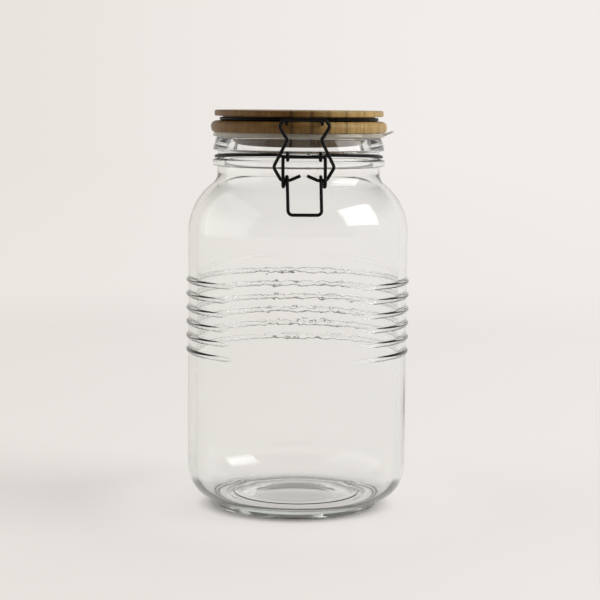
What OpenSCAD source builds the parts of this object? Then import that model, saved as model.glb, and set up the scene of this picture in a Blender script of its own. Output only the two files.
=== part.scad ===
// Clip-top food canister: a ribbed glass jar with a turned wooden lid, a silicone
// gasket and a toggle clamp of bent wire. Millimetres, +Z up, the clamp faces -Y.
// The origin is the middle of the foot ring, on the surface that the jar stands on.

/* [Glass jar] */
// Outside radius of the straight body
body_r = 62.5; // [62:0.1:63]
// Wall thickness of the straight body
wall = 4.9; // [4:0.1:5.2]
// Wall thickness of the neck
neck_wall = 3.7; // [3:0.1:3.8]
// Height of the rim above the table
rim_z = 211; // [210.5:0.1:211]
// Radius of the foot ring
foot_r = 46; // [45:0.1:46]
// Height of the foot ring
foot_h = 4.5; // [4:0.1:5]
// Height of the rounded corner between foot and body
corner_h = 19; // [16:0.5:22]
// Height at which the shoulder starts to curve in
shoulder_z = 157; // [155:0.5:158]
// Radius of the shoulder curve
shoulder_bend = 35; // [34.5:0.1:35.5]
// Outside radius of the neck
neck_r = 46.1; // [45.9:0.1:46.4]
// Height of the inside floor at its edge
floor_z = 6.9; // [6:0.1:9]
// How far the floor is pushed up in the middle
punt_rise = 2.6; // [0:0.1:3]

/* [Ribs and panel] */
// Number of ribs round the body
rib_count = 6; // [2:1:6]
// Distance from one rib to the next
rib_pitch = 8; // [6:0.1:9]
// Height of the middle of the rib band
rib_band_z = 109.9; // [100:0.1:115]
// How far a rib stands out of the body
rib_out = 1.2; // [0.8:0.05:1.5]
// Width of a rib where it meets the body
rib_w = 3; // [3:0.1:5]
// Half angle of the plain front panel at the middle of the band
panel_half = 37; // [20:0.5:60]
// How much narrower the panel is at the outermost ribs, as a half angle
panel_barrel = 5.2; // [0:0.1:10]
// How far the jar is turned in its wire ring, which slides round the neck
panel_turn = -4.9; // [-30:0.1:30]

/* [Wooden lid] */
// Radius of the lower disc
lid_r = 50; // [49.5:0.1:50.2]
// Radius of the upper disc
cap_r = 47.95; // [47:0.05:48.5]
// Radius at the bottom of the wire's groove
groove_r = 43.2; // [42.5:0.1:43.2]
// Radius of the plug that hangs in the mouth
plug_r = 41; // [38:0.1:41]
// Height of the lid's top face above the table
lid_top_z = 226.1; // [225.5:0.1:227]

/* [Gasket] */
// Outside radius of the silicone ring
gasket_r = 49.1; // [48:0.1:49.4]
// Thickness of the silicone ring
gasket_t = 2.6; // [2:0.1:2.6]
// How far the pull tab reaches from the jar's axis
tab_reach = 54.2; // [51:0.1:56]
// Width of the pull tab
tab_w = 11; // [6:0.5:16]

/* [Wire clamp] */
// Diameter of all the wire
wire_d = 1.9; // [1.8:0.05:1.9]
// Radius of the neck ring, to the middle of the wire
ring_r = 47; // [46.9:0.05:47.1]
// Distance from the jar's axis to the lid's hinge line
hinge_y = 56; // [56:0.1:57]
// Width across the clamp's handle, to the middle of the wire
handle_w = 18.1; // [17.6:0.1:18.4]
// Running clearance between a wire eye and the wire that turns in it
eye_clear = 0.06; // [0.04:0.01:0.1]

/* [Hidden] */
$fn = 96;

glass_colour = [0.86, 0.9, 0.88, 0.45];
wood_colour = [0.66, 0.46, 0.27];
silicone_colour = [0.9, 0.9, 0.88, 0.8];
wire_colour = [0.08, 0.08, 0.08];

wire_r = wire_d / 2;
sweep_r = wire_r - 0.02;       // swept wire lies just inside the true round lengths
sweep_sides = 12;

// jar, from the foot up
inner_r = body_r - wall;
corner_w = body_r - foot_r - 0.3;
corner_z = foot_h + corner_h;
under_z = 1.6;                 // the underside, inside the foot ring
foot_inner_r = 39.2;
floor_r = 43.5;
inner_corner_h = 15.5;
groove_low = 0.6;              // a round groove in the inside floor
neck_fillet = 4;
fillet_r = neck_r + neck_fillet;
fillet_z = shoulder_z + sqrt(pow(shoulder_bend + neck_fillet, 2) - pow(fillet_r - body_r + shoulder_bend, 2));
fillet_angle = acos((fillet_r - body_r + shoulder_bend) / (shoulder_bend + neck_fillet));
inner_fillet = 11;
inner_fillet_r = neck_r - neck_wall + inner_fillet;
inner_fillet_z = fillet_z + 1;
inner_bend = (pow(inner_fillet_r - inner_r, 2) + pow(inner_fillet_z - shoulder_z, 2) - pow(inner_fillet, 2))
    / (2 * (inner_fillet - inner_fillet_r + inner_r));
inner_angle = acos((inner_fillet_r - inner_r + inner_bend) / (inner_bend + inner_fillet));
mouth_r = neck_r - 2.9;
lip = 1.2;
rim_low_z = rim_z - 7.1;
rim_low_r = neck_r + 2.8;
bead_z = rim_z - 14.25;
bead_half = 1.95;
bead_r = neck_r + 2.7;
bead_edge = 0.9;
seat_r = neck_r - 0.2;
neck_corner = 0.5;
seat_corner = 0.6;

// ribs: a round bar sunk in the wall
rib_bar = (pow(rib_w / 2, 2) + pow(rib_out, 2)) / (2 * rib_out);
rib_bar_r = body_r + rib_out - rib_bar;
rib_base_r = body_r - 1.2;

// lid and gasket
cap_z = lid_top_z - 3.3;
disc_top_z = lid_top_z - 6;
disc_z = rim_z + 0.25 + gasket_t;
dome = 3.2;
plug_z = rim_z - 6;
plug_bevel_r = 1.7;            // the bevel lets the plug swing out past the mouth
plug_bevel_h = 3.2;
wire_z = disc_top_z + 1.1;
lid_ring_r = groove_r + wire_r + 0.1;

// neck ring: level behind, leaning up in front, and dropped again between the eyes
ring_z = rim_z - 11.1;
ring_lean = -2.9;
front_wire_y = -49.2;
front_wire_drop = -1.25;
hinge_z = ring_z;
eye_r = 2 * wire_r + eye_clear;   // from the pin's axis to the middle of the eye's wire
eye_x = 8.95;

// clamp pivots
pivot = [0, -51.5, rim_z - 9.6];
seat = [0, -49.5, rim_z - 22.5];
bar = [0, -54.1, rim_z + 10.3];

// ---------- helpers ----------
function arc(cx, cy, rx, ry, from, to, n) =
    [for (i = [0:n]) let (a = from + (to - from) * i / n) [cx + rx * cos(a), cy + ry * sin(a)]];

function unit(v) = v / norm(v);

// points of a round bend at b, on the way from a to c
function bend(a, b, c, r, n = 6) =
    let (u = unit(a - b), v = unit(c - b), half = acos(u * v) / 2,
         o = b + unit(u + v) * r / sin(half),
         p = b + u * r / tan(half) - o, q = b + v * r / tan(half) - o,
         e = unit(p), g = unit(q - (q * e) * e), turn = 180 - 2 * half)
    [for (i = [0:n]) o + r * (cos(turn * i / n) * e + sin(turn * i / n) * g)];

// a wire's line: corners given as [point, bend radius], the ends are plain points
function wire_line(corners) = let (last = len(corners) - 1)
    concat([corners[0][0]],
           [for (i = [1:last - 1])
               each bend(corners[i - 1][0], corners[i][0], corners[i + 1][0], corners[i][1])],
           [corners[last][0]]);

// one half of a symmetrical wire, continued through its mirror image in X
function mirrored(half) = concat(half, [for (i = [len(half) - 1:-1:0])
    [[-half[i][0][0], half[i][0][1], half[i][0][2]], half[i][1]]]);

function directions(p) = let (last = len(p) - 1)
    [for (i = [0:last]) unit((i < last ? unit(p[i + 1] - p[i]) : [0, 0, 0])
                           + (i > 0 ? unit(p[i] - p[i - 1]) : [0, 0, 0]))];

function across(v, t) = unit(v - (v * t) * t);

function side_vectors(t, first) =
    [for (i = 0, s = across(first, t[0]); i < len(t);
          s = i + 1 < len(t) ? across(s, t[i + 1]) : s, i = i + 1) s];

// a bent wire of round section along the points p
module sweep(p, first = [0, 1, 0], r = sweep_r) {
    t = directions(p);
    s = side_vectors(t, first);
    rings = len(p);
    points = [for (i = [0:rings - 1], k = [0:sweep_sides - 1])
        let (a = 360 * (k + 0.5) / sweep_sides)
        p[i] + r * (cos(a) * s[i] + sin(a) * cross(t[i], s[i]))];
    sides = [for (i = [0:rings - 2], k = [0:sweep_sides - 1])
        let (k2 = (k + 1) % sweep_sides, a = i * sweep_sides, b = a + sweep_sides)
        [a + k, b + k, b + k2, a + k2]];
    start = [for (k = [0:sweep_sides - 1]) k];
    end = [for (k = [sweep_sides - 1:-1:0]) (rings - 1) * sweep_sides + k];
    polyhedron(points, concat([start], [end], sides), convexity = 8);
}

// a true round length of wire along X, from x0 to x1
module pin(x0, x1, at) {
    translate([x0, at[1], at[2]]) rotate([0, 90, 0]) cylinder(r = wire_r, h = x1 - x0);
}

// a wire eye around a line along X
module eye(x, at) {
    translate([x, at[1], at[2]]) rotate([0, 90, 0])
        rotate_extrude() translate([eye_r, 0]) circle(r = wire_r);
}

// part of a wire ring in the XY plane, between two angles
module ring_part(r, from, to) {
    rotate([0, 0, from]) rotate_extrude(angle = to - from)
        translate([r, 0]) circle(r = wire_r);
}

// ---------- glass jar ----------
function jar_outside() = concat(
    arc(0, under_z, 24, punt_rise, 90, 0, 8),
    [[foot_inner_r - under_z, under_z]],
    [[foot_inner_r, 0]],
    arc(foot_r - lip, lip, lip, lip, -90, 0, 4),
    [[foot_r, foot_h - 0.5]],
    [[foot_r - 0.4, foot_h - 0.1]],
    arc(body_r - corner_w, corner_z, corner_w, corner_h, -90, 0, 20),
    arc(body_r - shoulder_bend, shoulder_z, shoulder_bend, shoulder_bend, 0, fillet_angle, 18),
    arc(fillet_r, fillet_z, neck_fillet, neck_fillet, 180 + fillet_angle, 180, 8),
    arc(neck_r + neck_corner, bead_z - bead_half - neck_corner, neck_corner, neck_corner, 180, 90, 3),
    arc(bead_r - bead_edge, bead_z - bead_half + bead_edge, bead_edge, bead_edge, -90, 0, 5),
    arc(bead_r - bead_edge, bead_z + bead_half - bead_edge, bead_edge, bead_edge, 0, 90, 5),
    arc(seat_r + seat_corner, bead_z + bead_half + seat_corner, seat_corner, seat_corner, -90, -180, 3),
    arc(seat_r + seat_corner, rim_low_z - 1.1, seat_corner, seat_corner, 180, 90, 3),
    arc(rim_low_r - 0.9, rim_low_z + 0.4, 0.9, 0.9, -90, 0, 4),
    arc(rim_low_r - 1.8 - lip, rim_z - lip, lip, lip, 0, 90, 5));

function jar_inside() = concat(
    arc(mouth_r + lip, rim_z - lip, lip, lip, 90, 180, 5),
    arc(inner_fillet_r, inner_fillet_z, inner_fillet, inner_fillet, 180, 180 + inner_angle, 8),
    arc(inner_r - inner_bend, shoulder_z, inner_bend, inner_bend, inner_angle, 0, 18),
    arc(floor_r, floor_z + inner_corner_h, inner_r - floor_r, inner_corner_h, 0, -90, 14),
    [[40.2, floor_z - 0.1]],
    [[39.6, floor_z - groove_low]],
    [[36.2, floor_z - groove_low]],
    [[35.6, floor_z - 0.2]],
    arc(0, floor_z - 0.3, 32.5, punt_rise, 0, 90, 10));

module rib(z) {
    t = (z - rib_band_z) / (rib_pitch * (rib_count - 1) / 2);
    half = panel_half - panel_barrel * t * t;
    translate([0, 0, z]) rotate([0, 0, -90 + half]) {
        rotate_extrude(angle = 360 - 2 * half) intersection() {
            translate([rib_bar_r, 0]) circle(r = rib_bar);
            translate([rib_base_r, -6]) square(12);
        }
        for (a = [0, 360 - 2 * half]) rotate([0, 0, a]) intersection() {
            translate([rib_bar_r, 0, 0]) rotate([0, 0, 180]) sphere(r = rib_bar - 0.03);
            translate([rib_base_r + 0.2, -6, -6]) cube(12);
        }
    }
}

module glass_jar() {
    color(glass_colour) rotate([0, 0, panel_turn]) {
        rotate([0, 0, -90]) rotate_extrude() polygon(concat(jar_outside(), jar_inside()));
        for (i = [0:rib_count - 1]) rib(rib_band_z + rib_pitch * (i - (rib_count - 1) / 2));
    }
}

// ---------- wooden lid ----------
module wood_lid() {
    color(wood_colour) rotate_extrude() polygon(concat(
        [[0, plug_z]],
        [[plug_r - plug_bevel_r, plug_z]],
        [[plug_r, plug_z + plug_bevel_h]],
        [[plug_r, disc_z]],
        arc(lid_r - 0.6 - lip, disc_z + lip, lip, lip, -90, -15, 4),
        arc(lid_r - dome, disc_top_z - dome, dome, dome, 0, 90, 8),
        [[groove_r, disc_top_z]],
        [[groove_r, cap_z]],
        arc(cap_r - 0.7, cap_z + 0.7, 0.7, 0.7, -90, 0, 4),
        arc(cap_r - lip, lid_top_z - lip, lip, lip, 0, 90, 5),
        [[0, lid_top_z]]));
}

// ---------- silicone gasket ----------
module gasket() {
    inner = plug_r + 0.15;
    tab_tilt = 20;
    color(silicone_colour) {
        rotate_extrude() polygon(concat(
            [[inner, disc_z]],
            [[inner, disc_z - gasket_t]],
            arc(gasket_r - 0.8, disc_z - gasket_t + 0.8, 0.8, 0.8, -90, 0, 4),
            [[gasket_r, disc_z - 0.6]],
            [[gasket_r - 0.6, disc_z]]));
        translate([gasket_r - 1.5, 0, disc_z - gasket_t + 0.3]) rotate([0, -tab_tilt, 0])
            linear_extrude(1.3) hull() {
                translate([0, -tab_w / 2]) square([0.1, tab_w]);
                for (y = [-1, 1])
                    translate([tab_reach - gasket_r - 0.5, y * (tab_w / 2 - 2)]) circle(r = 2, $fn = 32);
            }
    }
}

// ---------- lid wire ----------
hook_x = 9.7;
// each leg comes down in front of the hinge line and turns outwards into its eye
leg_x = 8.8;
leg_lead = 1.2;
hinge_eye_x = 9.45;
// where a straight wire leaves its ring: at an angle a from the clamp (side -1) or from
// the hinge (side 1), and s further along the tangent
function off_ring(r, side, a, z, s) = [r * sin(a) - s * cos(a), side * (r * cos(a) + s * sin(a)), z];

// the ring's end runs forward under the cap and curls into an open hook
hook_line = wire_line([
    [off_ring(lid_ring_r, -1, 18, wire_z, -0.8)],
    [off_ring(lid_ring_r, -1, 18, wire_z, 1), 3],
    [[hook_x, -43.8, wire_z], 1.6],
    [[hook_x, -49.3, wire_z], 1.1],
    [[hook_x, -50.2, wire_z - 2.3], 0.9],
    [[hook_x, -51.9, wire_z - 2.3], 0.8],
    [[hook_x, -51.9, wire_z + 0.3]]]);

// behind the lid the wire drops to the hinge line and crosses from eye to eye
hinge_leg_line = wire_line([
    [off_ring(lid_ring_r, 1, 17, wire_z, -0.8)],
    [off_ring(lid_ring_r, 1, 17, wire_z, 1), 3],
    [[leg_x, 43.9, wire_z], 1.6],
    [[leg_x, hinge_y - leg_lead, wire_z], 3],
    [[leg_x, hinge_y - leg_lead, hinge_z + sqrt(eye_r * eye_r - leg_lead * leg_lead)]]]);

module lid_wire() {
    color(wire_colour) {
        for (side = [0, 1]) mirror([side, 0, 0]) {
            translate([0, 0, wire_z]) ring_part(lid_ring_r, -90 + 18, 90 - 17);
            sweep(hook_line, [0, 0, 1]);
            sweep(hinge_leg_line, [0, 0, 1]);
            eye(hinge_eye_x, [0, hinge_y, hinge_z]);
        }
        sweep([[-10.7, hinge_y + 2.35, hinge_z + 0.5], [10.7, hinge_y + 2.35, hinge_z + 0.5]], [0, 0, 1]);
    }
}

// ---------- neck wire ----------
clamp_line = wire_line(mirrored([
    [off_ring(ring_r, -1, 19, 0, -0.8)],
    [off_ring(ring_r, -1, 19, 0, 1), 3],
    [[10.6, front_wire_y, front_wire_drop], 2.5]]));

hinge_line = wire_line(mirrored([
    [off_ring(ring_r, 1, 22, 0, -0.8)],
    [off_ring(ring_r, 1, 22, 0, 1), 3],
    [[12.9, hinge_y, 0], 2.5]]));

module neck_wire() {
    color(wire_colour) {
        translate([0, 0, ring_z]) {
            rotate([ring_lean, 0, 0]) {
                for (side = [0, 1]) mirror([side, 0, 0]) ring_part(ring_r, -90 + 19, 0);
                sweep(clamp_line, [0, 0, 1]);
            }
            for (side = [0, 1]) mirror([side, 0, 0]) {
                ring_part(ring_r, 0, 90 - 22);
                translate([ring_r, 0, 0]) sphere(r = wire_r + 0.02);
            }
            sweep(hinge_line, [0, 0, 1]);
        }
        pin(-10.5, 10.5, [0, hinge_y, hinge_z]);
        for (side = [-1, 1]) eye(side * eye_x, pivot);
    }
}

// ---------- bail ----------
// a place on the bail: x across, d up from its lower pivot towards the bar
function on_bail(x, d) = [x, seat[1] + (bar[1] - seat[1]) * d / (bar[2] - seat[2]), seat[2] + d];
bail_h = bar[2] - seat[2];

bail_line = wire_line(mirrored([
    [on_bail(1.8, 2.5)],
    [on_bail(7.6, 0), 1.6],
    [on_bail(12.4, 0), 2],
    [on_bail(16.6, 7.2), 3],
    [on_bail(9.2, 21.9), 2],
    [on_bail(13.8, 29.3), 2.6],
    [on_bail(11.5, bail_h), 2]]));

module bail() {
    color(wire_colour) {
        sweep(bail_line, [0, 1, 0]);
        for (side = [0, 1]) mirror([side, 0, 0]) pin(8.2, 10.2, seat);
    }
}

// ---------- lever ----------
hairpin_r = eye_r + 0.1;
lever_line = wire_line(mirrored([
    [[3.9, pivot[1], pivot[2]]],
    [[11.5, pivot[1], pivot[2]], 1.6],
    [[11.5, -53.4, seat[2] - 4.1], 1.4],
    [[10.3, seat[1] + hairpin_r, seat[2] - 2], 1.6],
    [[9.3, seat[1] + hairpin_r, seat[2] + hairpin_r], 1.9],
    [[handle_w / 2 + 0.1, seat[1] - hairpin_r, seat[2] + hairpin_r], 1.9],
    [[handle_w / 2, -62.9, seat[2] - 18.1], 2.6]]));

module lever() {
    color(wire_colour) {
        sweep(lever_line, [0, 1, 0]);
        for (side = [0, 1]) mirror([side, 0, 0]) pin(5, 10, pivot);
    }
}

glass_jar();
wood_lid();
gasket();
lid_wire();
neck_wire();
bail();
lever();
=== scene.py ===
import math

import bpy
from mathutils import Matrix, Vector, noise

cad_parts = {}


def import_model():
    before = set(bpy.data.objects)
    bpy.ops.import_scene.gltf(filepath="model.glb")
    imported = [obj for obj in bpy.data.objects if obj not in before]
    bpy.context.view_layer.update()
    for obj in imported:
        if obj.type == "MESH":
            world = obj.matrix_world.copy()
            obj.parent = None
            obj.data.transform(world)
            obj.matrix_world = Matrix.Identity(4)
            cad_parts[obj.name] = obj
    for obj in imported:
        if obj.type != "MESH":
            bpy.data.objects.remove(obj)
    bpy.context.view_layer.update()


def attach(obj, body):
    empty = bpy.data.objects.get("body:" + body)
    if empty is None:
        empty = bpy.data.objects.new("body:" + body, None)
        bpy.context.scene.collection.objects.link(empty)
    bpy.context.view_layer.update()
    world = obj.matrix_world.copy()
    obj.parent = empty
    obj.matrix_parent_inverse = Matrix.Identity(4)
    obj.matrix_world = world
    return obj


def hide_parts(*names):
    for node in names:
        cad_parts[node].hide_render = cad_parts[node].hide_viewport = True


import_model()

# Sizes are in millimetres, as in the CAD source, and meshes are scaled to metres when they are made.
MM = 0.001

# ---------- driving dimensions ----------
# glass jar: body, wall, foot, corner, shoulder, neck and floor
BODY_R = 62.5
WALL = 4.9
NECK_WALL = 3.7
RIM_Z = 211.0
FOOT_R = 46.0
FOOT_H = 4.5
CORNER_H = 19.0
SHOULDER_Z = 157.0
SHOULDER_BEND = 35.0
NECK_R = 46.1
FLOOR_Z = 6.9
PUNT_RISE = 2.6
# ribs, which stop at a barrel-shaped panel in front; angles in degrees
RIB_COUNT = 6
RIB_PITCH = 8.0
RIB_BAND_Z = 109.9
RIB_OUT = 1.2
RIB_W = 3.0
PANEL_HALF = 37.0
PANEL_BARREL = 5.2
PANEL_TURN = -4.9
# lid: disc, cap, groove for the wire and plug
LID_R = 50.0
CAP_R = 47.95
GROOVE_R = 43.2
PLUG_R = 41.0
LID_TOP_Z = 226.1
# gasket and its pull tab
GASKET_R = 49.1
GASKET_T = 2.6
TAB_R = 53.6
TAB_TILT = 20.0
TAB_W = 11.0
TAB_T = 1.1
# wires
WIRE_D = 1.9
RING_R = 47.0
HINGE_Y = 56.0
HANDLE_W = 18.1
EYE_CLEAR = 0.06

# ---------- minor sizes and derived places ----------
WIRE_R = WIRE_D / 2
TUBE_R = WIRE_R - 0.03
TUBE_SIDES = 16
INNER_R = BODY_R - WALL
CORNER_W = BODY_R - FOOT_R - 0.3
CORNER_Z = FOOT_H + CORNER_H
UNDER_Z = 1.6
FOOT_IN_R = 39.4
HEEL_W = 14.1
HEEL_H = 15.5
NECK_FILLET = 8.0
FILLET_R = NECK_R + NECK_FILLET
FILLET_DX = FILLET_R - BODY_R + SHOULDER_BEND
FILLET_Z = SHOULDER_Z + math.sqrt((SHOULDER_BEND + NECK_FILLET) ** 2 - FILLET_DX ** 2)
FILLET_ANGLE = math.degrees(math.acos(FILLET_DX / (SHOULDER_BEND + NECK_FILLET)))
INNER_FILLET = 11.0
INNER_FILLET_R = NECK_R - NECK_WALL + INNER_FILLET
INNER_FILLET_Z = FILLET_Z - 1.0
INNER_BEND = (((INNER_FILLET_R - INNER_R) ** 2 + (INNER_FILLET_Z - SHOULDER_Z) ** 2 - INNER_FILLET ** 2)
              / (2 * (INNER_FILLET - INNER_FILLET_R + INNER_R)))
INNER_ANGLE = math.degrees(math.acos((INNER_FILLET_R - INNER_R + INNER_BEND) / (INNER_BEND + INNER_FILLET)))
MOUTH_R = NECK_R - 2.9
LIP = 1.2
RIM_LOW_Z = RIM_Z - 7.1
RIM_LOW_R = NECK_R + 2.8
BEAD_Z = RIM_Z - 14.25
BEAD_HALF = 1.95
BEAD_R = NECK_R + 2.7
BEAD_EDGE = 0.9
SEAT_R = NECK_R - 0.2
CAP_Z = LID_TOP_Z - 3.3
DISC_TOP_Z = LID_TOP_Z - 6.0
DISC_Z = RIM_Z + 0.25 + GASKET_T
DOME = 3.2
PLUG_Z = RIM_Z - 6.0
PLUG_BEVEL_R = 1.7
PLUG_BEVEL_H = 3.2
WIRE_Z = DISC_TOP_Z + 1.1
LID_RING_R = GROOVE_R + WIRE_R + 0.1
RING_Z = RIM_Z - 11.1
RING_LEAN = -2.9
FRONT_WIRE_Y = -49.2
FRONT_WIRE_DROP = -1.25
HINGE_Z = RING_Z
EYE_R = 2 * WIRE_R + EYE_CLEAR
EYE_X = 8.95
PIVOT = Vector((0, -51.5, RIM_Z - 9.6))
SEAT = Vector((0, -49.5, RIM_Z - 22.5))
BAR = Vector((0, -54.1, RIM_Z + 10.3))


# ---------- outlines and lines ----------
def cosd(a):
    return math.cos(math.radians(a))


def sind(a):
    return math.sin(math.radians(a))


def even_angles(n):
    return [360 * i / n for i in range(n)]


def arc(cx, cy, rx, ry, start, end, n):
    """Points of an elliptical arc, angles in degrees."""
    steps = [start + (end - start) * i / n for i in range(n + 1)]
    return [Vector((cx + rx * cosd(a), cy + ry * sind(a), 0)) for a in steps]


def bend(a, b, c, r, n):
    """Points of a round bend of radius r at b, on the way from a to c."""
    u, v = (a - b).normalized(), (c - b).normalized()
    half = u.angle(v) / 2
    o = b + (u + v).normalized() * r / math.sin(half)
    p = b + u * r / math.tan(half) - o
    q = b + v * r / math.tan(half) - o
    e = p.normalized()
    g = (q - q.dot(e) * e).normalized()
    turn = math.pi - 2 * half
    return [o + r * (math.cos(turn * i / n) * e + math.sin(turn * i / n) * g) for i in range(n + 1)]


def line(corners, n=10):
    """A line through corners given as (point, bend radius); the two ends are plain points."""
    places = [Vector(p) for p, _ in corners]
    out = [places[0]]
    for i in range(1, len(corners) - 1):
        if corners[i][1]:
            out += bend(places[i - 1], places[i], places[i + 1], corners[i][1], n)
        else:
            out.append(places[i])
    return out + [places[-1]]


def mirrored(half):
    """One half of a symmetrical wire's corners, followed by their mirror image in X."""
    return half + [((-p[0], p[1], p[2]), r) for p, r in reversed(half)]


def flipped(points):
    """Points mirrored in X."""
    return [Vector((-p.x, p.y, p.z)) for p in points]


def ring_arc(r, start, end, z, step=3.0):
    """Points of a wire ring in a level plane, angles in degrees from +X."""
    n = max(2, round(abs(end - start) / step))
    steps = [start + (end - start) * i / n for i in range(n + 1)]
    return [Vector((r * cosd(a), r * sind(a), z)) for a in steps]


# ---------- mesh makers ----------
def piece(name, verts, faces, body, node, material):
    """Makes a smooth mesh from points in millimetres, which rides on a body and stands for a node."""
    mesh = bpy.data.meshes.new(name)
    mesh.from_pydata([v * MM for v in verts], [], faces)
    mesh.validate()
    mesh.update()
    mesh.shade_smooth()
    obj = bpy.data.objects.new(name, mesh)
    bpy.context.scene.collection.objects.link(obj)
    obj.data.materials.append(material)
    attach(obj, body)
    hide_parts(node)


def lathe(profile, angles, shift=None):
    """Verts and faces of a profile (x is the radius, y the height) turned about the axis.

    The profile runs from a point on the axis to another, or closes on itself as a ring."""
    verts, faces, rings = [], [], []
    for k, p in enumerate(profile):
        if p.x < 1e-6:
            rings.append([len(verts)])
            verts.append(Vector((0, 0, p.y)))
            continue
        start = len(verts)
        for a in angles:
            r = p.x + (shift(k, p, a) if shift else 0.0)
            verts.append(Vector((r * cosd(a), r * sind(a), p.y)))
        rings.append(list(range(start, len(verts))))
    n = len(angles)
    closed = len(rings[0]) > 1
    pairs = list(zip(rings, rings[1:] + rings[:1])) if closed else list(zip(rings, rings[1:]))
    for low, high in pairs:
        for i in range(n):
            j = (i + 1) % n
            if len(low) == 1:
                faces.append((low[0], high[j], high[i]))
            elif len(high) == 1:
                faces.append((low[i], low[j], high[0]))
            else:
                faces.append((low[i], low[j], high[j], high[i]))
    return verts, faces


def tangents_along(points, closed):
    """Directions of a line at its points."""
    n = len(points)
    if closed:
        return [(points[(i + 1) % n] - points[i - 1]).normalized() for i in range(n)]
    return [(points[min(i + 1, n - 1)] - points[max(i - 1, 0)]).normalized() for i in range(n)]


def rings_along(points, closed):
    """Rings of a round wire along points, each as centre, direction, side, radius and extra turn.

    The turns of a closed wire carry its last ring round to its first. An open wire has eased ends."""
    tangents = tangents_along(points, closed)
    side = tangents[0].orthogonal().normalized()
    sides = []
    for t in tangents:
        side = (side - side.dot(t) * t).normalized()
        sides.append(side)
    if closed:
        start = tangents[0]
        back = (side - side.dot(start) * start).normalized()
        twist = math.atan2(back.cross(sides[0]).dot(start), back.dot(sides[0]))
        step = twist / len(points)
        return [(p, t, s, TUBE_R, step * i) for i, (p, t, s) in enumerate(zip(points, tangents, sides))]
    rings = [(p, t, s, TUBE_R, 0.0) for p, t, s in zip(points, tangents, sides)]
    ease = 0.25 * TUBE_R
    (p, t, s, _, _), (q, u, v, _, _) = rings[0], rings[-1]
    rings[0] = (p + ease * t, t, s, TUBE_R, 0.0)
    rings[-1] = (q - ease * u, u, v, TUBE_R, 0.0)
    return [(p, t, s, TUBE_R - ease, 0.0), *rings, (q, u, v, TUBE_R - ease, 0.0)]


def tube(points, closed=False):
    """Verts and faces of a round wire along points, with softly rounded ends if it is open."""
    rings = rings_along(points, closed)
    verts, faces = [], []
    for centre, t, s, r, extra in rings:
        other = t.cross(s)
        for k in range(TUBE_SIDES):
            a = 2 * math.pi * k / TUBE_SIDES + extra
            verts.append(centre + r * (math.cos(a) * s + math.sin(a) * other))
    count = len(rings)
    for i in range(count if closed else count - 1):
        low, high = i * TUBE_SIDES, ((i + 1) % count) * TUBE_SIDES
        for k in range(TUBE_SIDES):
            j = (k + 1) % TUBE_SIDES
            faces.append((low + k, low + j, high + j, high + k))
    if not closed:
        for centre, ring, flip in ((rings[0][0], 0, True), (rings[-1][0], (count - 1) * TUBE_SIDES, False)):
            middle = len(verts)
            verts.append(centre)
            for k in range(TUBE_SIDES):
                j = (k + 1) % TUBE_SIDES
                faces.append((middle, ring + j, ring + k) if flip else (middle, ring + k, ring + j))
    return verts, faces


def eye(x, centre):
    """A wire eye about a line along X."""
    points = [Vector((x, centre.y + EYE_R * cosd(a), centre.z + EYE_R * sind(a))) for a in even_angles(36)]
    return tube(points, closed=True)


def joined(*shells):
    """Several closed shells as one list of verts and faces."""
    verts, faces = [], []
    for v, f in shells:
        offset = len(verts)
        verts += v
        faces += [tuple(i + offset for i in face) for face in f]
    return verts, faces


# ---------- materials ----------
GLASS_TINT = (0.62, 0.68, 0.64, 1)
SEAL_TONE = (0.76, 0.69, 0.55, 1)
TAB_TONE = (0.95, 0.94, 0.91, 1)
COATING_TONE = (0.005, 0.005, 0.005, 1)
# Dark strip tone: partly the wood's own darker strips, partly painted shade for the lid's left side, away
# from the key light.
DARK_STRIP_AND_PAINTED_SHADE = (0.190, 0.097, 0.026, 1)
PALE_STRIP = (0.460, 0.298, 0.105, 1)
DARK_STREAK = (0.78, 0.76, 0.72, 1)
PALE_STREAK = (1.18, 1.20, 1.22, 1)
GLUE_TONE = (0.045, 0.021, 0.007, 1)
# Painted shade on the plug, which sits under the disc out of the light.
PLUG_PAINTED_SHADE = (0.58, 0.56, 0.54, 1)
# Glue lines between the strips of the lid: place across it, half width and depth of colour.
GLUE_LINES = ((-41.0, 0.8, 0.2), (-22.7, 0.6, 0.1), (-5.9, 1.5, 0.86), (5.1, 1.5, 0.80),
              (8.4, 1.0, 0.2), (14.8, 1.8, 0.42), (24.6, 1.2, 0.5), (32.4, 0.5, 0.25),
              (34.6, 0.8, 0.42), (41.2, 0.7, 0.25))
# The strips turn from dark, which also holds painted shade on the side away from the key light, to pale
# between these places across the lid.
STRIP_DARK_AND_SHADED_X = -8.0
STRIP_PALE_X = 28.0
GLUE_WANDER = 1.6


def new_material(name):
    material = bpy.data.materials.new(name)
    material.use_nodes = True
    nodes = material.node_tree.nodes
    return material, nodes, material.node_tree.links, nodes["Principled BSDF"]


def add(nodes, kind, **values):
    """A shader node with its properties, and its inputs by name."""
    node = nodes.new(kind)
    for key, value in values.items():
        if hasattr(node, key):
            setattr(node, key, value)
        else:
            node.inputs[key.replace("_", " ")].default_value = value
    return node


def mixed(nodes, links, factor, a, b, blend_type="MIX"):
    """Two colours mixed; each argument is a socket or a value."""
    node = add(nodes, "ShaderNodeMix", data_type="RGBA", blend_type=blend_type)
    for key, value in (("Factor", factor), ("A", a), ("B", b)):
        if isinstance(value, bpy.types.NodeSocket):
            links.new(value, node.inputs[key])
        else:
            node.inputs[key].default_value = value
    return node.outputs["Result"]


def ranged(nodes, links, value, low, high):
    """A value carried smoothly from 0 at low to 1 at high."""
    node = add(nodes, "ShaderNodeMapRange", interpolation_type="SMOOTHSTEP")
    node.inputs["From Min"].default_value = low
    node.inputs["From Max"].default_value = high
    links.new(value, node.inputs["Value"])
    return node.outputs["Result"]


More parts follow.
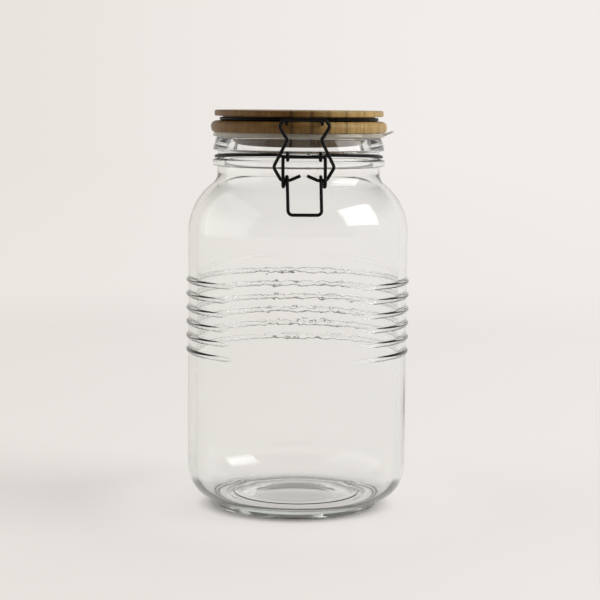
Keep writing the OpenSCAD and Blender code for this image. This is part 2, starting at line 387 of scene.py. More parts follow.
def computed(nodes, links, operation, a, b):
    """A sum, product or comparison of two values; each argument is a socket or a number."""
    node = add(nodes, "ShaderNodeMath", operation=operation)
    for k, value in enumerate((a, b)):
        if isinstance(value, bpy.types.NodeSocket):
            links.new(value, node.inputs[k])
        else:
            node.inputs[k].default_value = value
    return node.outputs["Value"]


def blended(nodes, links, factor, surface, glow):
    """A surface mixed with an even glow of a colour."""
    emission = add(nodes, "ShaderNodeEmission")
    if isinstance(glow, bpy.types.NodeSocket):
        links.new(glow, emission.inputs["Color"])
    else:
        emission.inputs["Color"].default_value = glow
    mix = add(nodes, "ShaderNodeMixShader")
    links.new(factor, mix.inputs["Fac"])
    links.new(surface, mix.inputs[1])
    links.new(emission.outputs["Emission"], mix.inputs[2])
    return mix.outputs["Shader"]


def dimpled(nodes, links, shader, height, strength, depth):
    """Fine unevenness of a surface, from a height value; depth in metres."""
    bump = add(nodes, "ShaderNodeBump", Strength=strength, Distance=depth)
    links.new(height, bump.inputs["Height"])
    links.new(bump.outputs["Normal"], shader.inputs["Normal"])


def glass_material():
    """Clear glass with a faint green tint in its depth."""
    material, nodes, links, shader = new_material("clear_glass")
    shader.inputs["Base Color"].default_value = (1.0, 1.0, 1.0, 1)
    shader.inputs["Roughness"].default_value = 0.0
    shader.inputs["IOR"].default_value = 1.5
    shader.inputs["Transmission Weight"].default_value = 1.0
    tint = add(nodes, "ShaderNodeVolumeAbsorption", Density=13.0)
    tint.inputs["Color"].default_value = GLASS_TINT
    links.new(tint.outputs["Volume"], nodes["Material Output"].inputs["Volume"])
    return material


def silicone_material():
    """Milky silicone, paler in the thin tab."""
    material, nodes, links, shader = new_material("silicone")
    shader.inputs["Roughness"].default_value = 0.12
    shader.inputs["IOR"].default_value = 1.41
    shader.inputs["Transmission Weight"].default_value = 0.55
    place = add(nodes, "ShaderNodeTexCoord")
    split = add(nodes, "ShaderNodeSeparateXYZ")
    links.new(place.outputs["Object"], split.inputs["Vector"])
    in_tab = ranged(nodes, links, split.outputs["X"], (GASKET_R - 0.2) * MM, (GASKET_R + 0.4) * MM)
    links.new(mixed(nodes, links, in_tab, SEAL_TONE, TAB_TONE), shader.inputs["Base Color"])
    cloud = add(nodes, "ShaderNodeTexNoise", Scale=260.0, Detail=3.0)
    links.new(place.outputs["Object"], cloud.inputs["Vector"])
    dimpled(nodes, links, shader, cloud.outputs["Fac"], 0.08, 0.0004)
    return material


def wire_material():
    """Steel wire with a black coating, faintly gritty."""
    material, nodes, links, shader = new_material("black_wire")
    shader.inputs["Base Color"].default_value = COATING_TONE
    shader.inputs["Roughness"].default_value = 0.36
    shader.inputs["Specular IOR Level"].default_value = 0.12
    place = add(nodes, "ShaderNodeTexCoord")
    grit = add(nodes, "ShaderNodeTexNoise", Scale=900.0, Detail=2.0)
    links.new(place.outputs["Object"], grit.inputs["Vector"])
    dimpled(nodes, links, shader, grit.outputs["Fac"], 0.12, 0.0002)
    return material


def wood_material():
    """Strips glued side by side, each running from front to back, with fine streaks; the dark left-hand
    strips also carry painted shade, and the plug is darkened by painted shade under the disc.
    """
    material, nodes, links, shader = new_material("oiled_wood")
    shader.inputs["Roughness"].default_value = 0.38
    shader.inputs["Specular IOR Level"].default_value = 0.2
    place = add(nodes, "ShaderNodeTexCoord")
    stretch = add(nodes, "ShaderNodeMapping")
    stretch.inputs["Scale"].default_value = (1.0, 0.05, 0.22)
    links.new(place.outputs["Object"], stretch.inputs["Vector"])
    wander = add(nodes, "ShaderNodeTexNoise", Scale=45.0, Detail=2.0)
    links.new(stretch.outputs["Vector"], wander.inputs["Vector"])
    streaks = add(nodes, "ShaderNodeTexNoise", Scale=420.0, Detail=5.0, Roughness=0.6)
    links.new(stretch.outputs["Vector"], streaks.inputs["Vector"])
    split = add(nodes, "ShaderNodeSeparateXYZ")
    links.new(place.outputs["Object"], split.inputs["Vector"])
    across = add(nodes, "ShaderNodeMath", operation="MULTIPLY_ADD")
    links.new(wander.outputs["Fac"], across.inputs[0])
    across.inputs[1].default_value = GLUE_WANDER * MM
    links.new(split.outputs["X"], across.inputs[2])

    bands = add(nodes, "ShaderNodeValToRGB")
    place_in_ramp = add(nodes, "ShaderNodeMapRange")
    place_in_ramp.inputs["From Min"].default_value = -LID_R * MM
    place_in_ramp.inputs["From Max"].default_value = LID_R * MM
    links.new(across.outputs["Value"], place_in_ramp.inputs["Value"])
    links.new(place_in_ramp.outputs["Result"], bands.inputs["Fac"])
    ramp = bands.color_ramp
    ramp.interpolation = "EASE"
    ramp.elements[0].color = ramp.elements[1].color = (0, 0, 0, 1)
    for x, half, depth in GLUE_LINES:
        for offset, value in ((-half, 0.0), (0.0, depth), (half, 0.0)):
            stop = ramp.elements.new((x + offset + LID_R) / (2 * LID_R))
            stop.color = (value, value, value, 1)

    # dark to pale across the lid: the strips' own tones, with painted shade on the left side away from the
    # key light
    side = ranged(nodes, links, across.outputs["Value"], STRIP_DARK_AND_SHADED_X * MM, STRIP_PALE_X * MM)
    base = mixed(nodes, links, side, DARK_STRIP_AND_PAINTED_SHADE, PALE_STRIP)
    streaky = ranged(nodes, links, streaks.outputs["Fac"], 0.35, 0.72)
    shade = mixed(nodes, links, streaky, DARK_STREAK, PALE_STREAK)
    grained = mixed(nodes, links, 1.0, base, shade, blend_type="MULTIPLY")
    lined = mixed(nodes, links, bands.outputs["Color"], grained, GLUE_TONE)
    # painted shade on the plug below the disc
    above = ranged(nodes, links, split.outputs["Z"], (DISC_Z - 0.6) * MM, (DISC_Z + 0.2) * MM)
    depth = mixed(nodes, links, above, PLUG_PAINTED_SHADE, (1, 1, 1, 1))
    shaded = mixed(nodes, links, 1.0, lined, depth, blend_type="MULTIPLY")
    links.new(shaded, shader.inputs["Base Color"])
    dimpled(nodes, links, shader, streaks.outputs["Fac"], 0.15, 0.0003)
    return material


GLASS = glass_material()
SILICONE = silicone_material()
WIRE = wire_material()
WOOD = wood_material()


# ---------- glass jar ----------
FRONT = -90.0 + PANEL_TURN
PANEL_STEP = 0.4
PANEL_REACH = 42.0
TURN_STEP = 1.5
BAND_LOW = RIB_BAND_Z - RIB_PITCH * RIB_COUNT / 2
BAND_HIGH = RIB_BAND_Z + RIB_PITCH * RIB_COUNT / 2
# a rib's half width, the length over which it runs out, its width there and the roundness of its top
RIB_REACH = 0.5 * RIB_W
RIB_TAPER = 7.0
RIB_END = 0.4
RIB_ROUNDNESS = 1.15
# the hammered relief of the panel: its sides in degrees from the middle, its top, and the depths of its
# broad and fine dimples with their sizes across and up
RELIEF_LEFT = -22.0
RELIEF_RIGHT = 36.0
RELIEF_EDGE = 5.0
RELIEF_TOP = BAND_HIGH + 10
BROAD_DEPTH = 0.030
BROAD_SIZE = (6.0, 3.6)
FINE_DEPTH = 0.020
FINE_SIZE = (2.2, 1.4)
# how far the moulded wall waves, outside and inside, and the heights between which it waves inside
WAVE_OUT = 0.03
WAVE_IN = 0.10
WAVE_LOW_Z = 20.0
WAVE_HIGH_Z = 175.0


def jar_angles():
    """Fine steps across the front panel and its rib ends, coarser ones round the rest."""
    fine = round(2 * PANEL_REACH / PANEL_STEP)
    coarse = round((360 - 2 * PANEL_REACH) / TURN_STEP)
    panel = [FRONT - PANEL_REACH + 2 * PANEL_REACH * i / fine for i in range(fine)]
    rest = [FRONT + PANEL_REACH + (360 - 2 * PANEL_REACH) * i / coarse for i in range(coarse)]
    return panel + rest


def levels(start, end, count):
    """Even steps from one height to another, with both ends."""
    return [start + (end - start) * i / count for i in range(count + 1)]


def band_levels():
    """Heights across the ribbed band, closer together on each rib than between two ribs."""
    out = []
    clear = 0.05
    for i in range(RIB_COUNT):
        low = BAND_LOW + i * RIB_PITCH
        rib_low, rib_high = low + RIB_PITCH / 2 - RIB_REACH, low + RIB_PITCH / 2 + RIB_REACH
        out += levels(low, rib_low - clear, 3) + levels(rib_low, rib_high, 20)
        out += levels(rib_high + clear, low + RIB_PITCH, 3)[:-1]
    return out


def punt(r_end, height, z):
    """A shallow spherical dome, from the axis out to r_end."""
    radius = (r_end ** 2 + height ** 2) / (2 * height)
    centre_z = z + height - radius
    n = 14
    out = [r_end * i / n for i in range(n + 1)]
    return [Vector((r, centre_z + math.sqrt(radius ** 2 - r ** 2), 0)) for r in out]


def jar_outside():
    """The jar's outer outline, from the middle of its underside up to the rim."""
    under = punt(24, PUNT_RISE, UNDER_Z)
    foot = line([((25, UNDER_Z, 0), 0), ((FOOT_IN_R - 1.6, UNDER_Z, 0), 0.6), ((FOOT_IN_R, 0, 0), 0.5),
                 ((FOOT_R - LIP, 0, 0), 0)], 4)
    toe = arc(FOOT_R - LIP, LIP, LIP, LIP, -90, 0, 6)
    crease = line([((FOOT_R, LIP + 0.5, 0), 0), ((FOOT_R, FOOT_H, 0), 0.35),
                   ((FOOT_R + 3, FOOT_H + 0.05, 0), 0)], 5)
    corner = arc(BODY_R - CORNER_W, CORNER_Z, CORNER_W, CORNER_H, -86, 0, 30)
    heights = levels(CORNER_Z + 4, BAND_LOW - 1, 10) + band_levels()
    heights += levels(BAND_HIGH, RELIEF_TOP, 20) + levels(RELIEF_TOP + 1, SHOULDER_Z - 2, 3)
    wall = [Vector((BODY_R, z, 0)) for z in heights]
    shoulder = arc(BODY_R - SHOULDER_BEND, SHOULDER_Z, SHOULDER_BEND, SHOULDER_BEND, 0, FILLET_ANGLE, 30)
    fillet = arc(FILLET_R, FILLET_Z, NECK_FILLET, NECK_FILLET, 180 + FILLET_ANGLE, 180, 8)
    neck = line([((NECK_R, BEAD_Z - BEAD_HALF - 1.8, 0), 0), ((NECK_R, BEAD_Z - BEAD_HALF, 0), 0.5),
                 ((BEAD_R, BEAD_Z - BEAD_HALF, 0), BEAD_EDGE), ((BEAD_R, BEAD_Z + BEAD_HALF, 0), BEAD_EDGE),
                 ((SEAT_R, BEAD_Z + BEAD_HALF, 0), 0.6), ((SEAT_R, RIM_LOW_Z - 0.5, 0), 0.6),
                 ((RIM_LOW_R, RIM_LOW_Z - 0.5, 0), 0.9), ((RIM_LOW_R - 2, RIM_Z, 0), LIP),
                 ((NECK_R - 1, RIM_Z, 0), 0)], 6)
    return under + foot[1:-1] + toe + crease + corner[1:] + wall + shoulder + fillet[1:] + neck


def jar_inside():
    """The jar's inner outline, from the rim down to the middle of its floor, which has two low steps."""
    lip = arc(MOUTH_R + LIP, RIM_Z - LIP, LIP, LIP, 90, 180, 6)
    fillet = arc(INNER_FILLET_R, INNER_FILLET_Z, INNER_FILLET, INNER_FILLET, 180, 180 + INNER_ANGLE, 14)
    shoulder = arc(INNER_R - INNER_BEND, SHOULDER_Z, INNER_BEND, INNER_BEND, INNER_ANGLE, 0, 26)
    heights = levels(SHOULDER_Z - 3, BAND_HIGH + 2, 6) + levels(BAND_HIGH, BAND_LOW, 60)
    heights += levels(BAND_LOW - 2, FLOOR_Z + HEEL_H + 2, 14)
    wall = [Vector((INNER_R, z, 0)) for z in heights]
    corner = arc(INNER_R - HEEL_W, FLOOR_Z + HEEL_H, HEEL_W, HEEL_H, 0, -88, 26)
    steps = line([((INNER_R - HEEL_W - 0.6, FLOOR_Z, 0), 0), ((40.4, FLOOR_Z, 0), 0.5),
                  ((39.4, FLOOR_Z - 0.6, 0), 0.5), ((36.4, FLOOR_Z - 0.6, 0), 0.5),
                  ((35.4, FLOOR_Z - 0.2, 0), 0.5), ((32.6, FLOOR_Z - 0.3, 0), 0)], 4)
    middle = list(reversed(punt(31.5, PUNT_RISE, FLOOR_Z - 0.3)))
    return lip + fillet + shoulder[1:] + wall + corner + steps + middle


def panel_distance(angle):
    """Degrees from the middle of the front panel, from -180 to 180."""
    return (angle - FRONT + 180) % 360 - 180


def rib_height(z, angle):
    """How far the ribs stand out at a place on the wall; each one runs out smoothly at the panel."""
    best = 0.0
    half = (RIB_COUNT - 1) / 2
    for i in range(RIB_COUNT):
        t = (i - half) / half
        dz = z - RIB_BAND_Z - t * RIB_PITCH * half
        if abs(dz) > RIB_REACH:
            continue
        past_end = math.radians(abs(panel_distance(angle)) - PANEL_HALF + PANEL_BARREL * t * t) * BODY_R
        if past_end <= 0:
            continue
        taper = math.sin(math.pi / 2 * min(1.0, past_end / RIB_TAPER))
        width = RIB_REACH * (RIB_END + (1 - RIB_END) * taper)
        best = max(best, taper * max(0.0, 1 - (dz / width) ** 2) ** RIB_ROUNDNESS)
    return RIB_OUT * best


def fade(x, low, high):
    """0 below low, 1 above high and smooth between them."""
    t = min(1.0, max(0.0, (x - low) / (high - low)))
    return t * t * (3 - 2 * t)


def dimples(x, z, size, seed):
    """Unevenness from -1 to 1 at a place on a surface, in dimples of a size across and up."""
    return noise.noise(Vector((x / size[0], z / size[1], seed)))


def relief(z, angle):
    """Gentle hammered relief of the front panel."""
    across = panel_distance(angle)
    sides = fade(across - RELIEF_LEFT, 0, RELIEF_EDGE) * fade(RELIEF_RIGHT - across, 0, RELIEF_EDGE)
    mask = sides * fade(z, BAND_LOW - 2, BAND_LOW + 4) * fade(RELIEF_TOP - z, 0, 4)
    round_wall = math.radians(across) * BODY_R
    broad = dimples(round_wall, z, BROAD_SIZE, seed=3.1)
    fine = dimples(round_wall, z, FINE_SIZE, seed=7.7)
    return mask * (BROAD_DEPTH * broad + FINE_DEPTH * fine)


def ripple(z, angle, seed, across, along):
    """Slow waviness of moulded glass, from -1 to 1."""
    return noise.noise(Vector((across * cosd(angle), across * sind(angle), z / along + seed)))


def jar():
    """Both outlines turned in one closed shell, with ribs, relief and waves pushed out of the round."""
    outside, inside = jar_outside(), jar_inside()
    edge = len(outside)

    def shift(k, p, a):
        if k < edge:
            if p.x < BODY_R - 1e-6:
                return 0.0
            wave = WAVE_OUT * ripple(p.y, a, seed=11.0, across=2.2, along=60.0) - WAVE_OUT
            return rib_height(p.y, a) + relief(p.y, a) + wave
        waving = fade(p.y, WAVE_LOW_Z, WAVE_LOW_Z + 20) * fade(WAVE_HIGH_Z - p.y, 0, 15)
        return waving * WAVE_IN * ripple(p.y, a, seed=4.0, across=2.6, along=55.0)

    verts, faces = lathe(outside + inside, jar_angles(), shift)
    piece("jar_shell", verts, faces, "jar", "glass_jar", GLASS)


# ---------- lid and gasket ----------
def lid():
    """Plug, lower disc, groove and cap in one outline; its long straights are cut for even shading."""
    profile = line([((0, PLUG_Z, 0), 0), ((PLUG_R - PLUG_BEVEL_R, PLUG_Z, 0), 0.8),
                    ((PLUG_R, PLUG_Z + PLUG_BEVEL_H, 0), 2.0), ((PLUG_R, DISC_Z, 0), 0),
                    ((LID_R - 0.6, DISC_Z, 0), 1.3), ((LID_R, DISC_Z + 2.8, 0), 1.6),
                    ((LID_R, DISC_TOP_Z, 0), DOME), ((GROOVE_R, DISC_TOP_Z, 0), 0.25),
                    ((GROOVE_R, CAP_Z, 0), 0.25), ((CAP_R, CAP_Z, 0), 0.7),
                    ((CAP_R, LID_TOP_Z, 0), 1.1), ((0, LID_TOP_Z, 0), 0)], 8)
    dense = []
    for a, b in zip(profile, profile[1:]):
        parts = max(1, round((b - a).length / 4))
        dense += [a.lerp(b, i / parts) for i in range(parts)]
    dense.append(profile[-1])
    verts, faces = lathe(dense, even_angles(256))
    piece("turned_lid", verts, faces, "lid", "wood_lid", WOOD)


def tab(low):
    """The gasket's thin pull tab, which runs out and a little up at the right, beside the lid."""
    round_end = 2.0
    root = Vector((GASKET_R - 1.5, low + 1.0, 0))
    tip = Vector((TAB_R, root.y + (TAB_R - root.x) * math.tan(math.radians(TAB_TILT)), 0))
    stations = [root.lerp(tip, t) for t in (0, 0.4, 0.7, 0.88, 0.97, 1)]
    along = (tip - root).normalized()
    out = Vector((-along.y, along.x, 0)) * TAB_T / 2
    verts, faces = [], []
    for p in stations:
        short = max(0.0, round_end - (tip - p).length)
        half = TAB_W / 2 - round_end + math.sqrt(max(round_end ** 2 - short ** 2, 0.04))
        for q, w in ((p + out, half), (p + out, -half), (p - out, -half), (p - out, half)):
            verts.append(Vector((q.x, w, q.y)))
    last = 4 * (len(stations) - 1)
    for k in range(0, last, 4):
        for i in range(4):
            j = (i + 1) % 4
            faces.append((k + i, k + j, k + 4 + j, k + 4 + i))
    faces += [(3, 2, 1, 0), (last, last + 1, last + 2, last + 3)]
    return verts, faces


def gasket():
    """The ring between rim and disc, with its tab."""
    inner = PLUG_R + 0.15
    low, high = DISC_Z - GASKET_T, DISC_Z
    profile = line([((inner + 2, low, 0), 0), ((GASKET_R, low, 0), 0.6), ((GASKET_R - 0.8, high, 0), 0.3),
                    ((inner, high, 0), 0.4), ((inner, low, 0), 0.4), ((inner + 2, low, 0), 0)], 6)
    ring = lathe(profile[:-1], even_angles(192))
    verts, faces = joined(ring, tab(low))
    piece("seal_ring", verts, faces, "lid", "gasket", SILICONE)


# ---------- wires ----------
# lid wire: where it leaves its half rings, in degrees from front and back, its hooks, legs and bridge
LID_WIRE_FRONT = 18
LID_WIRE_BACK = 17
HOOK_X = 9.7
HOOK_Y = -51.9
HOOK_DROP = 2.3
LEG_X = 8.8
LEG_LEAD = 1.2
HINGE_EYE_X = 9.45
BRIDGE_X = 10.7
# neck wire: where it leaves its ring, and the half widths of its straight lengths in front and behind
NECK_WIRE_FRONT = 19
NECK_WIRE_BACK = 22
CLAMP_X = 10.6
HINGE_X = 12.9
EXIT = 1.0


def off_ring(r, side, a, z):
    """A point just off a ring, on the straight line by which the wire leaves it.

    Side is -1 in front and 1 behind; a is in degrees from there."""
    return (r * sind(a) - EXIT * cosd(a), side * (r * cosd(a) + EXIT * sind(a)), z)


def lid_wire():
    """Two half rings in the lid's groove, each with a hook in front and a leg and an eye behind.

    A bridge joins the eyes."""
    around = ring_arc(LID_RING_R, -90 + LID_WIRE_FRONT, 90 - LID_WIRE_BACK, WIRE_Z)
    hook = line([(around[0], 0), (off_ring(LID_RING_R, -1, LID_WIRE_FRONT, WIRE_Z), 3),
                 ((HOOK_X, -43.8, WIRE_Z), 1.6), ((HOOK_X, HOOK_Y + 2.6, WIRE_Z), 1.1),
                 ((HOOK_X, HOOK_Y + 1.7, WIRE_Z - HOOK_DROP), 0.9),
                 ((HOOK_X, HOOK_Y, WIRE_Z - HOOK_DROP), 0.8), ((HOOK_X, HOOK_Y, WIRE_Z + 0.3), 0)])
    leg_end = HINGE_Z + math.sqrt(EYE_R ** 2 - LEG_LEAD ** 2)
    leg = line([(around[-1], 0), (off_ring(LID_RING_R, 1, LID_WIRE_BACK, WIRE_Z), 3),
                ((LEG_X, 43.9, WIRE_Z), 1.6), ((LEG_X, HINGE_Y - LEG_LEAD, WIRE_Z), 3),
                ((LEG_X, HINGE_Y - LEG_LEAD, leg_end), 0)])
    half = list(reversed(hook))[:-1] + around + leg[1:]
    bridge = [Vector((x, HINGE_Y + 2.35, HINGE_Z + 0.5)) for x in (-BRIDGE_X, -5, 5, BRIDGE_X)]
    hinge = Vector((0, HINGE_Y, HINGE_Z))
    verts, faces = joined(tube(half), tube(flipped(half)), tube(bridge),
                          eye(HINGE_EYE_X, hinge), eye(-HINGE_EYE_X, hinge))
    piece("lid_bail_wire", verts, faces, "lid", "lid_wire", WIRE)


def neck_wire():
    """The ring in the neck's groove, level behind and leaning up in front, with the lever's two eyes."""
    right = ring_arc(RING_R, -90 + NECK_WIRE_FRONT, 90 - NECK_WIRE_BACK, 0)
    clamp = line([(right[0], 0), (off_ring(RING_R, -1, NECK_WIRE_FRONT, 0), 3),
                  ((CLAMP_X, FRONT_WIRE_Y, FRONT_WIRE_DROP), 2.5), ((0, FRONT_WIRE_Y, FRONT_WIRE_DROP), 0)])
    rear = line([(right[-1], 0), (off_ring(RING_R, 1, NECK_WIRE_BACK, 0), 3),
                 ((HINGE_X, HINGE_Y, 0), 2.5), ((0, HINGE_Y, 0), 0)])
    half = list(reversed(clamp))[:-1] + right + rear[1:]
    loop = half + list(reversed(flipped(half[1:-1])))
    lean = Matrix.Rotation(math.radians(RING_LEAN), 4, "X")
    loop = [(lean @ p if p.y < 0 else p) + Vector((0, 0, RING_Z)) for p in loop]
    verts, faces = joined(tube(loop, closed=True), eye(EYE_X, PIVOT), eye(-EYE_X, PIVOT))
    piece("neck_ring_wire", verts, faces, "jar", "neck_wire", WIRE)


def on_bail(x, d):
    """A place on the bail: x across, d up from its lower pivot towards the bar."""
    return (x, SEAT.y + (BAR.y - SEAT.y) * d / (BAR.z - SEAT.z), SEAT.z + d)


def bail():
    """The link: inward ends, out through the lever's hairpins, in at the waist and up to the bar."""
    corners = mirrored([(on_bail(1.8, 2.5), 0), (on_bail(7.6, 0), 1.6), (on_bail(12.4, 0), 2),
                        (on_bail(16.6, 7.2), 3), (on_bail(9.2, 21.9), 2), (on_bail(13.8, 29.3), 2.6),
                        (on_bail(11.5, BAR.z - SEAT.z), 2)])
    verts, faces = tube(line(corners))
    piece("hourglass_link", verts, faces, "bail", "bail", WIRE)


def lever():
    """The handle: from its inward pivots down, round the bail in two hairpins, and down to the grip."""
    hairpin = EYE_R + 0.1
    corners = mirrored([((3.9, PIVOT.y, PIVOT.z), 0), ((11.5, PIVOT.y, PIVOT.z), 1.6),
                        ((11.5, -53.4, SEAT.z - 4.1), 1.4), ((10.3, SEAT.y + hairpin, SEAT.z - 2), 1.6),
                        ((9.3, SEAT.y + hairpin, SEAT.z + hairpin), 1.9),
                        ((HANDLE_W / 2 + 0.1, SEAT.y - hairpin, SEAT.z + hairpin), 1.9),
                        ((HANDLE_W / 2, -62.9, SEAT.z - 18.1), 2.6)])
    verts, faces = tube(line(corners))
    piece("handle_wire", verts, faces, "lever", "lever", WIRE)


jar()
lid()
gasket()
lid_wire()
neck_wire()
bail()
lever()

# ---------- stage, in metres ----------
WARM_LEFT = (0.802, 0.770, 0.722, 1)
WARM_RIGHT = (0.880, 0.848, 0.825, 1)
DIM_FRONT = (0.15, 0.147, 0.14, 1)
# A painted shadow tone, which the floor shows beside the heel only through the glass.
HEEL_PAINTED_SHADOW_TONE = (0.10, 0.10, 0.095, 1)
FLOOR_HALF = 6.0
# Places between which the floor's tone turns: from left to right of the jar, and out in front of it.
STAGE_TURN_X = (-1.07, 1.07)
STAGE_TURN_Y = (-0.25, -0.7)
# Distances from the jar's middle between which the floor's shares turn: outside the foot, further round
# it and far away, and, as seen through the glass, under the foot and beside the heel.
NEAR_FOOT = (0.044, 0.060)
ROUND_JAR = (0.085, 0.14)
FAR_AWAY = (0.45, 1.3)
UNDER_FOOT = (0.046, 0.038)
BESIDE_HEEL = (0.125, 0.085)
# The share of the floor that glows in its own tone: close to the jar, further round it, and under it
# as seen through the glass. The last is the share of the heel's painted shadow tone beside the jar.
SOFT_SHADOW = 0.80
SIDE_SHADOW = 0.45
UNDER_GLOW = 0.75
HEEL_SHADE = 0.95
# A ray with more crossings of glass than this has gone through more than one wall.
ONE_WALL = 2.5


def stage_material():
    """Pale paper, part lit and part glowing, so that the object's shadow on it stays soft.

    Seen through the glass it is lighter under the jar, as light that the glass lets through would make it,
    and darkened by a painted shadow close by where a ray has met only one thickness of glass, as in the
    heel's outline."""
    material, nodes, links, shader = new_material("stage_paper")
    shader.inputs["Roughness"].default_value = 1.0
    shader.inputs["Specular IOR Level"].default_value = 0.0
    place = add(nodes, "ShaderNodeNewGeometry")
    split = add(nodes, "ShaderNodeSeparateXYZ")
    links.new(place.outputs["Position"], split.inputs["Vector"])
    length = add(nodes, "ShaderNodeVectorMath", operation="LENGTH")
    links.new(place.outputs["Position"], length.inputs[0])
    radius = length.outputs["Value"]
    ray = add(nodes, "ShaderNodeLightPath")

    # warmer at the left, and dim in front of the jar for the light that it scatters back
    side = ranged(nodes, links, split.outputs["X"], *STAGE_TURN_X)
    tone = mixed(nodes, links, side, WARM_LEFT, WARM_RIGHT)
    front = ranged(nodes, links, split.outputs["Y"], *STAGE_TURN_Y)
    room_front = computed(nodes, links, "MULTIPLY", front, ray.outputs["Is Diffuse Ray"])
    tone = mixed(nodes, links, room_front, tone, DIM_FRONT)
    links.new(tone, shader.inputs["Base Color"])

    # the glowing share: none under the foot, most just outside it, less around, all far away
    outer = computed(nodes, links, "MULTIPLY", ranged(nodes, links, radius, *ROUND_JAR),
                     SOFT_SHADOW - SIDE_SHADOW)
    near = computed(nodes, links, "MULTIPLY", ranged(nodes, links, radius, *NEAR_FOOT), SOFT_SHADOW)
    near = computed(nodes, links, "SUBTRACT", near, outer)
    far = ranged(nodes, links, radius, *FAR_AWAY)
    share = computed(nodes, links, "MAXIMUM", near, far)
    paper = blended(nodes, links, share, shader.outputs["BSDF"], tone)

    # seen through the glass
    through = ray.outputs["Is Transmission Ray"]
    deep = computed(nodes, links, "GREATER_THAN", ray.outputs["Transmission Depth"], ONE_WALL)
    under = computed(nodes, links, "MULTIPLY", ranged(nodes, links, radius, *UNDER_FOOT), deep)
    under = computed(nodes, links, "MULTIPLY", under, through)
    under = computed(nodes, links, "MULTIPLY", under, UNDER_GLOW)
    paper = blended(nodes, links, under, paper, tone)
    # painted shadow beside the heel, for rays that have crossed only one wall of glass
    shallow = computed(nodes, links, "SUBTRACT", through, deep)
    close = computed(nodes, links, "MULTIPLY", ranged(nodes, links, radius, *BESIDE_HEEL), shallow)
    close = computed(nodes, links, "MULTIPLY", close, HEEL_SHADE)
    paper = blended(nodes, links, close, paper, HEEL_PAINTED_SHADOW_TONE)
    links.new(paper, nodes["Material Output"].inputs["Surface"])
    return material


def floor():
    mesh = bpy.data.meshes.new("floor")
    corners = [(x * FLOOR_HALF, y * FLOOR_HALF, 0) for x, y in ((-1, -1), (1, -1), (1, 1), (-1, 1))]
    mesh.from_pydata(corners, [], [(0, 1, 2, 3)])
    obj = bpy.data.objects.new("floor", mesh)
    bpy.context.scene.collection.objects.link(obj)
    obj.data.materials.append(stage_material())


# ---------- room, as directions of the world ----------
CEILING = (0.12, 0.12, 0.115, 1)
DARK_FRONT = (0.12, 0.118, 0.115, 1)
LIGHT_LEFT = (0.44, 0.435, 0.43, 1)
LIGHT_RIGHT = (1.30, 1.30, 1.30, 1)
LIGHT_FRONT = (0.10, 0.098, 0.095, 1)
# Where the room's tones turn, as parts of a direction of length 1: from left to right, up to the ceiling
# and out to the dark front, and for its light from left to right and out to the front.
ROOM_TURN_X = (-0.15, 0.15)
ROOM_TURN_Z = (0.18, 0.55)
ROOM_TURN_Y = (-0.30, -0.72)
LIGHT_TURN_X = (-0.9, 0.9)
LIGHT_TURN_Y = (-0.15, -0.75)


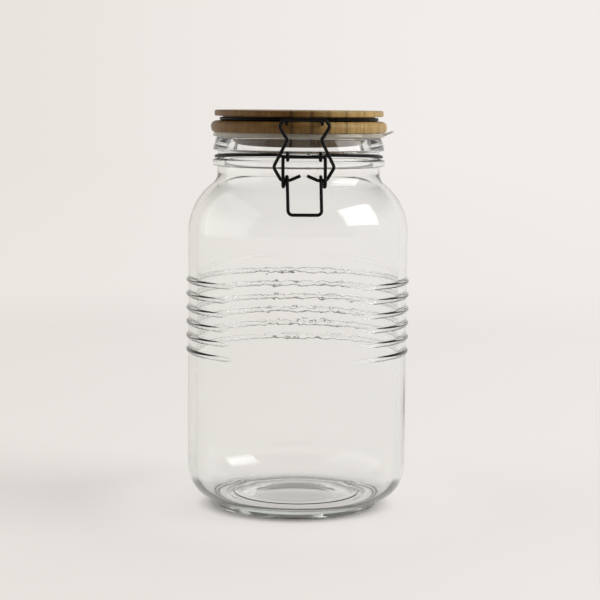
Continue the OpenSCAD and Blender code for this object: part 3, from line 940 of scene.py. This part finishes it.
def world():
    """A pale room: the paper's tone for the camera, a dark ceiling and front for glass, and its own light.

    What is seen in the glass or through it has the ceiling, and what it mirrors also the dark front. The
    light that falls on the object comes mostly from the right."""
    scene_world = bpy.data.worlds.new("room")
    bpy.context.scene.world = scene_world
    scene_world.use_nodes = True
    nodes, links = scene_world.node_tree.nodes, scene_world.node_tree.links
    background = nodes["Background"]
    place = add(nodes, "ShaderNodeTexCoord")
    split = add(nodes, "ShaderNodeSeparateXYZ")
    links.new(place.outputs["Generated"], split.inputs["Vector"])
    ray = add(nodes, "ShaderNodeLightPath")

    across = ranged(nodes, links, split.outputs["X"], *ROOM_TURN_X)
    tone = mixed(nodes, links, across, WARM_LEFT, WARM_RIGHT)
    height = ranged(nodes, links, split.outputs["Z"], *ROOM_TURN_Z)
    front = ranged(nodes, links, split.outputs["Y"], *ROOM_TURN_Y)
    room = mixed(nodes, links, height, tone, CEILING)
    mirrored_room = mixed(nodes, links, front, room, DARK_FRONT)

    side = ranged(nodes, links, split.outputs["X"], *LIGHT_TURN_X)
    lamps = mixed(nodes, links, side, LIGHT_LEFT, LIGHT_RIGHT)
    before = ranged(nodes, links, split.outputs["Y"], *LIGHT_TURN_Y)
    lamps = mixed(nodes, links, before, lamps, LIGHT_FRONT)

    seen = mixed(nodes, links, ray.outputs["Is Glossy Ray"], lamps, mirrored_room)
    seen = mixed(nodes, links, ray.outputs["Is Transmission Ray"], seen, room)
    seen = mixed(nodes, links, ray.outputs["Is Camera Ray"], seen, tone)
    scattered = computed(nodes, links, "MINIMUM", ray.outputs["Diffuse Depth"], 1.0)
    seen = mixed(nodes, links, scattered, seen, lamps)
    links.new(seen, background.inputs["Color"])


# ---------- lamps and camera ----------
LAMP_AIM = Vector((0, 0, 0.16))


def softbox(name, azimuth, elevation, distance, size, power, roll=0.0):
    """An area light that looks at the jar. Azimuth 0 is the camera's side (-Y), 90 is +X."""
    way = Vector((sind(azimuth) * cosd(elevation), -cosd(azimuth) * cosd(elevation), sind(elevation)))
    data = bpy.data.lights.new(name, "AREA")
    data.shape = "RECTANGLE"
    data.size, data.size_y = size
    data.energy = power
    obj = bpy.data.objects.new(name, data)
    bpy.context.scene.collection.objects.link(obj)
    obj.location = LAMP_AIM + way * distance
    turn = (-way).to_track_quat("-Z", "Y").to_matrix() @ Matrix.Rotation(math.radians(roll), 3, "Z")
    obj.rotation_euler = turn.to_euler()


def camera():
    """A long lens about 1.1 m in front of the jar, a little above it and looking slightly down."""
    distance, height = 1.0945, 0.2336
    azimuth, pitch, roll = -3.3, 6.035, 0.5
    picture_width, shift = 600, 2.54
    data = bpy.data.cameras.new("camera")
    data.sensor_width = 36.0
    data.lens = 115.2
    data.shift_x = shift / picture_width
    data.clip_end = 50.0
    obj = bpy.data.objects.new("camera", data)
    bpy.context.scene.collection.objects.link(obj)
    obj.location = (distance * sind(azimuth), -distance * cosd(azimuth), height)
    turn = Matrix.Rotation(math.radians(azimuth), 4, "Z")
    turn = turn @ Matrix.Rotation(math.radians(90 - pitch), 4, "X")
    obj.rotation_euler = (turn @ Matrix.Rotation(math.radians(roll), 4, "Z")).to_euler()
    bpy.context.scene.camera = obj


floor()
world()
softbox("key_window", azimuth=74, elevation=29.5, distance=3.0, size=(2.1, 1.5), power=42, roll=-8)
softbox("fill_board", azimuth=-92, elevation=22, distance=2.0, size=(2.8, 1.9), power=9)
camera()
bpy.context.scene.view_settings.view_transform = "Standard"
